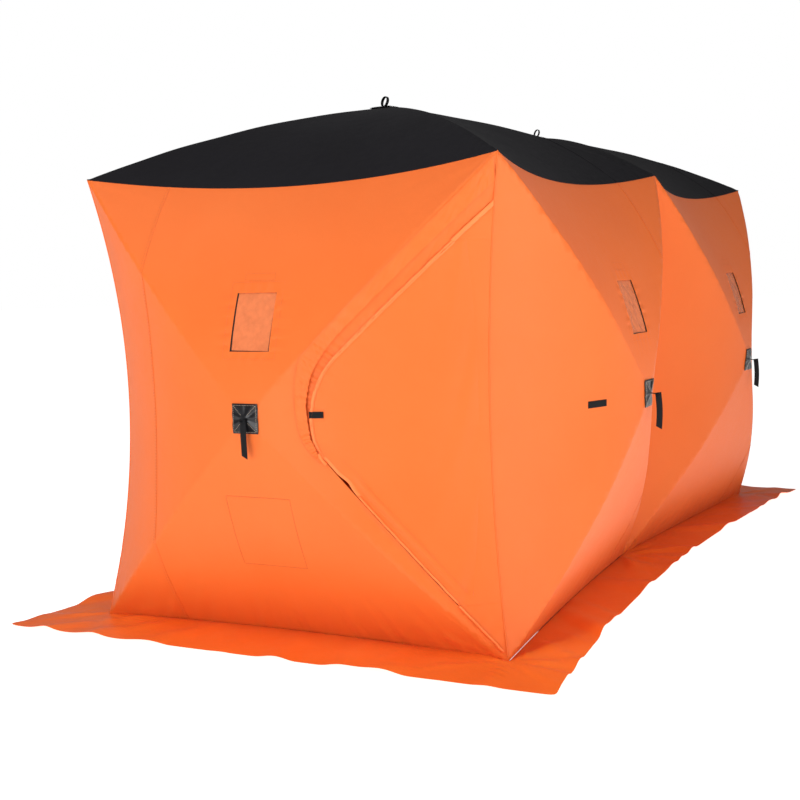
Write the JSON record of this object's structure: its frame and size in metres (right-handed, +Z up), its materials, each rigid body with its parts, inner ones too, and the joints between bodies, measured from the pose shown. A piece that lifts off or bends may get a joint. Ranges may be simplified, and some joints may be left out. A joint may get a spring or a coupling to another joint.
{
  "type": "ice fishing shelter",
  "caption": "Two-cell pop-up ice fishing shelter: bulging cloth walls and roof held out by hubs with sprung poles, a zipped door, clear windows and a snow skirt.",
  "frame": {"origin": "On the ground, under the middle of the cabin", "axes": "+X across the width towards the wall that the door hinges beside, +Y along the length away from the door wall, +Z up"},
  "size_m": [2.372, 4.172, 2.1],
  "materials": {
    "orange_cloth": "coated oxford weave, soft sheen",
    "black_cloth": "coated oxford weave, dark",
    "clear_vinyl": "clear soft film",
    "hub_plastic": "moulded nylon",
    "fibreglass": "pultruded rod",
    "webbing": "woven tape",
    "zinc": "cast and tumbled"
  },
  "bodies": {
    "shell": {"front_wall": "orange_cloth", "back_wall": "orange_cloth", "right_wall": "orange_cloth", "left_wall": "orange_cloth", "roof": "black_cloth", "skirt": "orange_cloth", "window_front": "clear_vinyl", "window_back": "clear_vinyl", "window_right_1": "clear_vinyl", "window_right_2": "clear_vinyl", "window_left_1": "clear_vinyl", "window_left_2": "clear_vinyl", "storm_flap": "orange_cloth", "tieback_patch": "webbing", "inner_pocket": "orange_cloth"},
    "door_seam": {"door_hinge_tape": "orange_cloth"},
    "door": {"door_panel": "orange_cloth", "door_tab": "webbing"},
    "zip_upper": {"zip_slider_upper": "zinc"},
    "zip_lower": {"zip_slider_lower": "zinc"},
    "hub_front": {"hub_front": "hub_plastic"},
    "pole_front_top_left": {"pole_front_top_left": "fibreglass"},
    "pole_front_top_right": {"pole_front_top_right": "fibreglass"},
    "pole_front_bottom_right": {"pole_front_bottom_right": "fibreglass"},
    "pole_front_bottom_left": {"pole_front_bottom_left": "fibreglass"},
    "hub_back": {"hub_back": "hub_plastic"},
    "pole_back_top_left": {"pole_back_top_left": "fibreglass"},
    "pole_back_top_right": {"pole_back_top_right": "fibreglass"},
    "pole_back_bottom_right": {"pole_back_bottom_right": "fibreglass"},
    "pole_back_bottom_left": {"pole_back_bottom_left": "fibreglass"},
    "hub_right_1": {"hub_right_1": "hub_plastic"},
    "pole_right_1_top_left": {"pole_right_1_top_left": "fibreglass"},
    "pole_right_1_top_right": {"pole_right_1_top_right": "fibreglass"},
    "pole_right_1_bottom_right": {"pole_right_1_bottom_right": "fibreglass"},
    "pole_right_1_bottom_left": {"pole_right_1_bottom_left": "fibreglass"},
    "hub_right_2": {"hub_right_2": "hub_plastic"},
    "pole_right_2_top_left": {"pole_right_2_top_left": "fibreglass"},
    "pole_right_2_top_right": {"pole_right_2_top_right": "fibreglass"},
    "pole_right_2_bottom_right": {"pole_right_2_bottom_right": "fibreglass"},
    "pole_right_2_bottom_left": {"pole_right_2_bottom_left": "fibreglass"},
    "hub_left_1": {"hub_left_1": "hub_plastic"},
    "pole_left_1_top_left": {"pole_left_1_top_left": "fibreglass"},
    "pole_left_1_top_right": {"pole_left_1_top_right": "fibreglass"},
    "pole_left_1_bottom_right": {"pole_left_1_bottom_right": "fibreglass"},
    "pole_left_1_bottom_left": {"pole_left_1_bottom_left": "fibreglass"},
    "hub_left_2": {"hub_left_2": "hub_plastic"},
    "pole_left_2_top_left": {"pole_left_2_top_left": "fibreglass"},
    "pole_left_2_top_right": {"pole_left_2_top_right": "fibreglass"},
    "pole_left_2_bottom_right": {"pole_left_2_bottom_right": "fibreglass"},
    "pole_left_2_bottom_left": {"pole_left_2_bottom_left": "fibreglass"},
    "hub_roof_1": {"hub_roof_1": "hub_plastic"},
    "pole_roof_1_back_left": {"pole_roof_1_back_left": "fibreglass"},
    "pole_roof_1_back_right": {"pole_roof_1_back_right": "fibreglass"},
    "pole_roof_1_front_right": {"pole_roof_1_front_right": "fibreglass"},
    "pole_roof_1_front_left": {"pole_roof_1_front_left": "fibreglass"},
    "hub_roof_2": {"hub_roof_2": "hub_plastic"},
    "pole_roof_2_back_left": {"pole_roof_2_back_left": "fibreglass"},
    "pole_roof_2_back_right": {"pole_roof_2_back_right": "fibreglass"},
    "pole_roof_2_front_right": {"pole_roof_2_front_right": "fibreglass"},
    "pole_roof_2_front_left": {"pole_roof_2_front_left": "fibreglass"}
  },
  "joints": [
    {"name": "hub_front_pop", "type": "slide", "parent": "shell", "child": "hub_front", "axis": [0, 1, 0], "range_m": [0, 0.47]},
    {"name": "pole_front_top_left_hinge", "type": "hinge", "parent": "hub_front", "child": "pole_front_top_left", "pos_m": [-0.03077, -2.04, 0.91145], "axis": [0.7148, 0, 0.6993], "range_deg": [0, 22.87]},
    {"name": "pole_front_top_right_hinge", "type": "hinge", "parent": "hub_front", "child": "pole_front_top_right", "pos_m": [0.03077, -2.04, 0.91145], "axis": [0.7148, 0, -0.6993], "range_deg": [0, 22.87]},
    {"name": "pole_front_bottom_right_hinge", "type": "hinge", "parent": "hub_front", "child": "pole_front_bottom_right", "pos_m": [0.0315, -2.04, 0.84927], "axis": [-0.6983, 0, -0.7158], "range_deg": [0, 23.46]},
    {"name": "pole_front_bottom_left_hinge", "type": "hinge", "parent": "hub_front", "child": "pole_front_bottom_left", "pos_m": [-0.0315, -2.04, 0.84927], "axis": [-0.6983, 0, 0.7158], "range_deg": [0, 23.46]},
    {"name": "hub_back_pop", "type": "slide", "parent": "shell", "child": "hub_back", "axis": [0, -1, 0], "range_m": [0, 0.47]},
    {"name": "pole_back_top_left_hinge", "type": "hinge", "parent": "hub_back", "child": "pole_back_top_left", "pos_m": [0.03077, 2.04, 0.91145], "axis": [-0.7148, 0, 0.6993], "range_deg": [0, 22.87]},
    {"name": "pole_back_top_right_hinge", "type": "hinge", "parent": "hub_back", "child": "pole_back_top_right", "pos_m": [-0.03077, 2.04, 0.91145], "axis": [-0.7148, 0, -0.6993], "range_deg": [0, 22.87]},
    {"name": "pole_back_bottom_right_hinge", "type": "hinge", "parent": "hub_back", "child": "pole_back_bottom_right", "pos_m": [-0.0315, 2.04, 0.84927], "axis": [0.6983, 0, -0.7158], "range_deg": [0, 23.46]},
    {"name": "pole_back_bottom_left_hinge", "type": "hinge", "parent": "hub_back", "child": "pole_back_bottom_left", "pos_m": [0.0315, 2.04, 0.84927], "axis": [0.6983, 0, 0.7158], "range_deg": [0, 23.46]},
    {"name": "hub_right_1_pop", "type": "slide", "parent": "shell", "child": "hub_right_1", "axis": [-1, 0, 0], "range_m": [0, 0.45]},
    {"name": "pole_right_1_top_left_hinge", "type": "hinge", "parent": "hub_right_1", "child": "pole_right_1_top_left", "pos_m": [1.13, -0.93077, 0.91145], "axis": [0, 0.7148, 0.6993], "range_deg": [0, 21.9]},
    {"name": "pole_right_1_top_right_hinge", "type": "hinge", "parent": "hub_right_1", "child": "pole_right_1_top_right", "pos_m": [1.13, -0.86923, 0.91145], "axis": [0, 0.7148, -0.6993], "range_deg": [0, 21.9]},
    {"name": "pole_right_1_bottom_right_hinge", "type": "hinge", "parent": "hub_right_1", "child": "pole_right_1_bottom_right", "pos_m": [1.13, -0.8685, 0.84927], "axis": [0, -0.6983, -0.7158], "range_deg": [0, 22.56]},
    {"name": "pole_right_1_bottom_left_hinge", "type": "hinge", "parent": "hub_right_1", "child": "pole_right_1_bottom_left", "pos_m": [1.13, -0.9315, 0.84927], "axis": [0, -0.6983, 0.7158], "range_deg": [0, 22.46]},
    {"name": "hub_right_2_pop", "type": "slide", "parent": "shell", "child": "hub_right_2", "axis": [-1, 0, 0], "range_m": [0, 0.45]},
    {"name": "pole_right_2_top_left_hinge", "type": "hinge", "parent": "hub_right_2", "child": "pole_right_2_top_left", "pos_m": [1.13, 0.86923, 0.91145], "axis": [0, 0.7148, 0.6993], "range_deg": [0, 21.9]},
    {"name": "pole_right_2_top_right_hinge", "type": "hinge", "parent": "hub_right_2", "child": "pole_right_2_top_right", "pos_m": [1.13, 0.93077, 0.91145], "axis": [0, 0.7148, -0.6993], "range_deg": [0, 21.9]},
    {"name": "pole_right_2_bottom_right_hinge", "type": "hinge", "parent": "hub_right_2", "child": "pole_right_2_bottom_right", "pos_m": [1.13, 0.9315, 0.84927], "axis": [0, -0.6983, -0.7158], "range_deg": [0, 22.46]},
    {"name": "pole_right_2_bottom_left_hinge", "type": "hinge", "parent": "hub_right_2", "child": "pole_right_2_bottom_left", "pos_m": [1.13, 0.8685, 0.84927], "axis": [0, -0.6983, 0.7158], "range_deg": [0, 22.56]},
    {"name": "hub_left_1_pop", "type": "slide", "parent": "shell", "child": "hub_left_1", "axis": [1, 0, 0], "range_m": [0, 0.45]},
    {"name": "pole_left_1_top_left_hinge", "type": "hinge", "parent": "hub_left_1", "child": "pole_left_1_top_left", "pos_m": [-1.13, -0.86923, 0.91145], "axis": [0, -0.7148, 0.6993], "range_deg": [0, 21.9]},
    {"name": "pole_left_1_top_right_hinge", "type": "hinge", "parent": "hub_left_1", "child": "pole_left_1_top_right", "pos_m": [-1.13, -0.93077, 0.91145], "axis": [0, -0.7148, -0.6993], "range_deg": [0, 21.9]},
    {"name": "pole_left_1_bottom_right_hinge", "type": "hinge", "parent": "hub_left_1", "child": "pole_left_1_bottom_right", "pos_m": [-1.13, -0.9315, 0.84927], "axis": [0, 0.6983, -0.7158], "range_deg": [0, 22.46]},
    {"name": "pole_left_1_bottom_left_hinge", "type": "hinge", "parent": "hub_left_1", "child": "pole_left_1_bottom_left", "pos_m": [-1.13, -0.8685, 0.84927], "axis": [0, 0.6983, 0.7158], "range_deg": [0, 22.56]},
    {"name": "hub_left_2_pop", "type": "slide", "parent": "shell", "child": "hub_left_2", "axis": [1, 0, 0], "range_m": [0, 0.45]},
    {"name": "pole_left_2_top_left_hinge", "type": "hinge", "parent": "hub_left_2", "child": "pole_left_2_top_left", "pos_m": [-1.13, 0.93077, 0.91145], "axis": [0, -0.7148, 0.6993], "range_deg": [0, 21.9]},
    {"name": "pole_left_2_top_right_hinge", "type": "hinge", "parent": "hub_left_2", "child": "pole_left_2_top_right", "pos_m": [-1.13, 0.86923, 0.91145], "axis": [0, -0.7148, -0.6993], "range_deg": [0, 21.9]},
    {"name": "pole_left_2_bottom_right_hinge", "type": "hinge", "parent": "hub_left_2", "child": "pole_left_2_bottom_right", "pos_m": [-1.13, 0.8685, 0.84927], "axis": [0, 0.6983, -0.7158], "range_deg": [0, 22.56]},
    {"name": "pole_left_2_bottom_left_hinge", "type": "hinge", "parent": "hub_left_2", "child": "pole_left_2_bottom_left", "pos_m": [-1.13, 0.9315, 0.84927], "axis": [0, 0.6983, 0.7158], "range_deg": [0, 22.46]},
    {"name": "hub_roof_1_pop", "type": "slide", "parent": "shell", "child": "hub_roof_1", "axis": [0, 0, -1], "range_m": [0, 0.53]},
    {"name": "pole_roof_1_back_left_hinge", "type": "hinge", "parent": "hub_roof_1", "child": "pole_roof_1_back_left", "pos_m": [-0.03154, -0.86932, 2.07], "axis": [0.6974, 0.7167, 0], "range_deg": [0, 25.73]},
    {"name": "pole_roof_1_back_right_hinge", "type": "hinge", "parent": "hub_roof_1", "child": "pole_roof_1_back_right", "pos_m": [0.03154, -0.86932, 2.07], "axis": [0.6974, -0.7167, 0], "range_deg": [0, 25.73]},
    {"name": "pole_roof_1_front_right_hinge", "type": "hinge", "parent": "hub_roof_1", "child": "pole_roof_1_front_right", "pos_m": [0.03111, -0.93111, 2.07], "axis": [-0.7071, -0.7071, 0], "range_deg": [0, 26.12]},
    {"name": "pole_roof_1_front_left_hinge", "type": "hinge", "parent": "hub_roof_1", "child": "pole_roof_1_front_left", "pos_m": [-0.03111, -0.93111, 2.07], "axis": [-0.7071, 0.7071, 0], "range_deg": [0, 26.12]},
    {"name": "hub_roof_2_pop", "type": "slide", "parent": "shell", "child": "hub_roof_2", "axis": [0, 0, -1], "range_m": [0, 0.53]},
    {"name": "pole_roof_2_back_left_hinge", "type": "hinge", "parent": "hub_roof_2", "child": "pole_roof_2_back_left", "pos_m": [-0.03111, 0.93111, 2.07], "axis": [0.7071, 0.7071, 0], "range_deg": [0, 26.12]},
    {"name": "pole_roof_2_back_right_hinge", "type": "hinge", "parent": "hub_roof_2", "child": "pole_roof_2_back_right", "pos_m": [0.03111, 0.93111, 2.07], "axis": [0.7071, -0.7071, 0], "range_deg": [0, 26.12]},
    {"name": "pole_roof_2_front_right_hinge", "type": "hinge", "parent": "hub_roof_2", "child": "pole_roof_2_front_right", "pos_m": [0.03154, 0.86932, 2.07], "axis": [-0.6974, -0.7167, 0], "range_deg": [0, 25.73]},
    {"name": "pole_roof_2_front_left_hinge", "type": "hinge", "parent": "hub_roof_2", "child": "pole_roof_2_front_left", "pos_m": [-0.03154, 0.86932, 2.07], "axis": [-0.6974, 0.7167, 0], "range_deg": [0, 25.73]},
    {"name": "door_seam_swing", "type": "hinge", "parent": "shell", "child": "door_seam", "pos_m": [0.78, -1.865, 0.85], "axis": [0, 0, 1], "range_deg": [-37, 0]},
    {"name": "door_swing", "type": "hinge", "parent": "door_seam", "child": "door", "pos_m": [0.78, -1.849, 0.85], "axis": [0, 0, 1], "range_deg": [0, 200]},
    {"name": "zip_upper_slide", "type": "slide", "parent": "door", "child": "zip_upper", "axis": [0.6874, 0.28, 0.6701], "range_m": [0, 0.57]},
    {"name": "zip_lower_slide", "type": "slide", "parent": "door", "child": "zip_lower", "axis": [0.6359, 0.2155, -0.7411], "range_m": [0, 0.684]}
  ],
  "couplings": [
    {"joint": "pole_front_top_left_hinge", "follows": "hub_front_pop", "rad_per_m": 0.84192},
    {"joint": "pole_front_top_right_hinge", "follows": "hub_front_pop", "rad_per_m": 0.84192},
    {"joint": "pole_front_bottom_right_hinge", "follows": "hub_front_pop", "rad_per_m": 0.86364},
    {"joint": "pole_front_bottom_left_hinge", "follows": "hub_front_pop", "rad_per_m": 0.86364},
    {"joint": "pole_back_top_left_hinge", "follows": "hub_back_pop", "rad_per_m": 0.84192},
    {"joint": "pole_back_top_right_hinge", "follows": "hub_back_pop", "rad_per_m": 0.84192},
    {"joint": "pole_back_bottom_right_hinge", "follows": "hub_back_pop", "rad_per_m": 0.86364},
    {"joint": "pole_back_bottom_left_hinge", "follows": "hub_back_pop", "rad_per_m": 0.86364},
    {"joint": "pole_right_1_top_left_hinge", "follows": "hub_right_1_pop", "rad_per_m": 0.84151},
    {"joint": "pole_right_1_top_right_hinge", "follows": "hub_right_1_pop", "rad_per_m": 0.84169},
    {"joint": "pole_right_1_bottom_right_hinge", "follows": "hub_right_1_pop", "rad_per_m": 0.86726},
    {"joint": "pole_right_1_bottom_left_hinge", "follows": "hub_right_1_pop", "rad_per_m": 0.86321},
    {"joint": "pole_right_2_top_left_hinge", "follows": "hub_right_2_pop", "rad_per_m": 0.84169},
    {"joint": "pole_right_2_top_right_hinge", "follows": "hub_right_2_pop", "rad_per_m": 0.84151},
    {"joint": "pole_right_2_bottom_right_hinge", "follows": "hub_right_2_pop", "rad_per_m": 0.86321},
    {"joint": "pole_right_2_bottom_left_hinge", "follows": "hub_right_2_pop", "rad_per_m": 0.86726},
    {"joint": "pole_left_1_top_left_hinge", "follows": "hub_left_1_pop", "rad_per_m": 0.84169},
    {"joint": "pole_left_1_top_right_hinge", "follows": "hub_left_1_pop", "rad_per_m": 0.84151},
    {"joint": "pole_left_1_bottom_right_hinge", "follows": "hub_left_1_pop", "rad_per_m": 0.86321},
    {"joint": "pole_left_1_bottom_left_hinge", "follows": "hub_left_1_pop", "rad_per_m": 0.86726},
    {"joint": "pole_left_2_top_left_hinge", "follows": "hub_left_2_pop", "rad_per_m": 0.84151},
    {"joint": "pole_left_2_top_right_hinge", "follows": "hub_left_2_pop", "rad_per_m": 0.84169},
    {"joint": "pole_left_2_bottom_right_hinge", "follows": "hub_left_2_pop", "rad_per_m": 0.86726},
    {"joint": "pole_left_2_bottom_left_hinge", "follows": "hub_left_2_pop", "rad_per_m": 0.86321},
    {"joint": "pole_roof_1_back_left_hinge", "follows": "hub_roof_1_pop", "rad_per_m": 0.84062},
    {"joint": "pole_roof_1_back_right_hinge", "follows": "hub_roof_1_pop", "rad_per_m": 0.84062},
    {"joint": "pole_roof_1_front_right_hinge", "follows": "hub_roof_1_pop", "rad_per_m": 0.85348},
    {"joint": "pole_roof_1_front_left_hinge", "follows": "hub_roof_1_pop", "rad_per_m": 0.85348},
    {"joint": "pole_roof_2_back_left_hinge", "follows": "hub_roof_2_pop", "rad_per_m": 0.85348},
    {"joint": "pole_roof_2_back_right_hinge", "follows": "hub_roof_2_pop", "rad_per_m": 0.85348},
    {"joint": "pole_roof_2_front_right_hinge", "follows": "hub_roof_2_pop", "rad_per_m": 0.84062},
    {"joint": "pole_roof_2_front_left_hinge", "follows": "hub_roof_2_pop", "rad_per_m": 0.84062},
    {"joint": "door_seam_swing", "follows": "hub_front_pop", "rad_per_m": -1.3666}
  ]
}
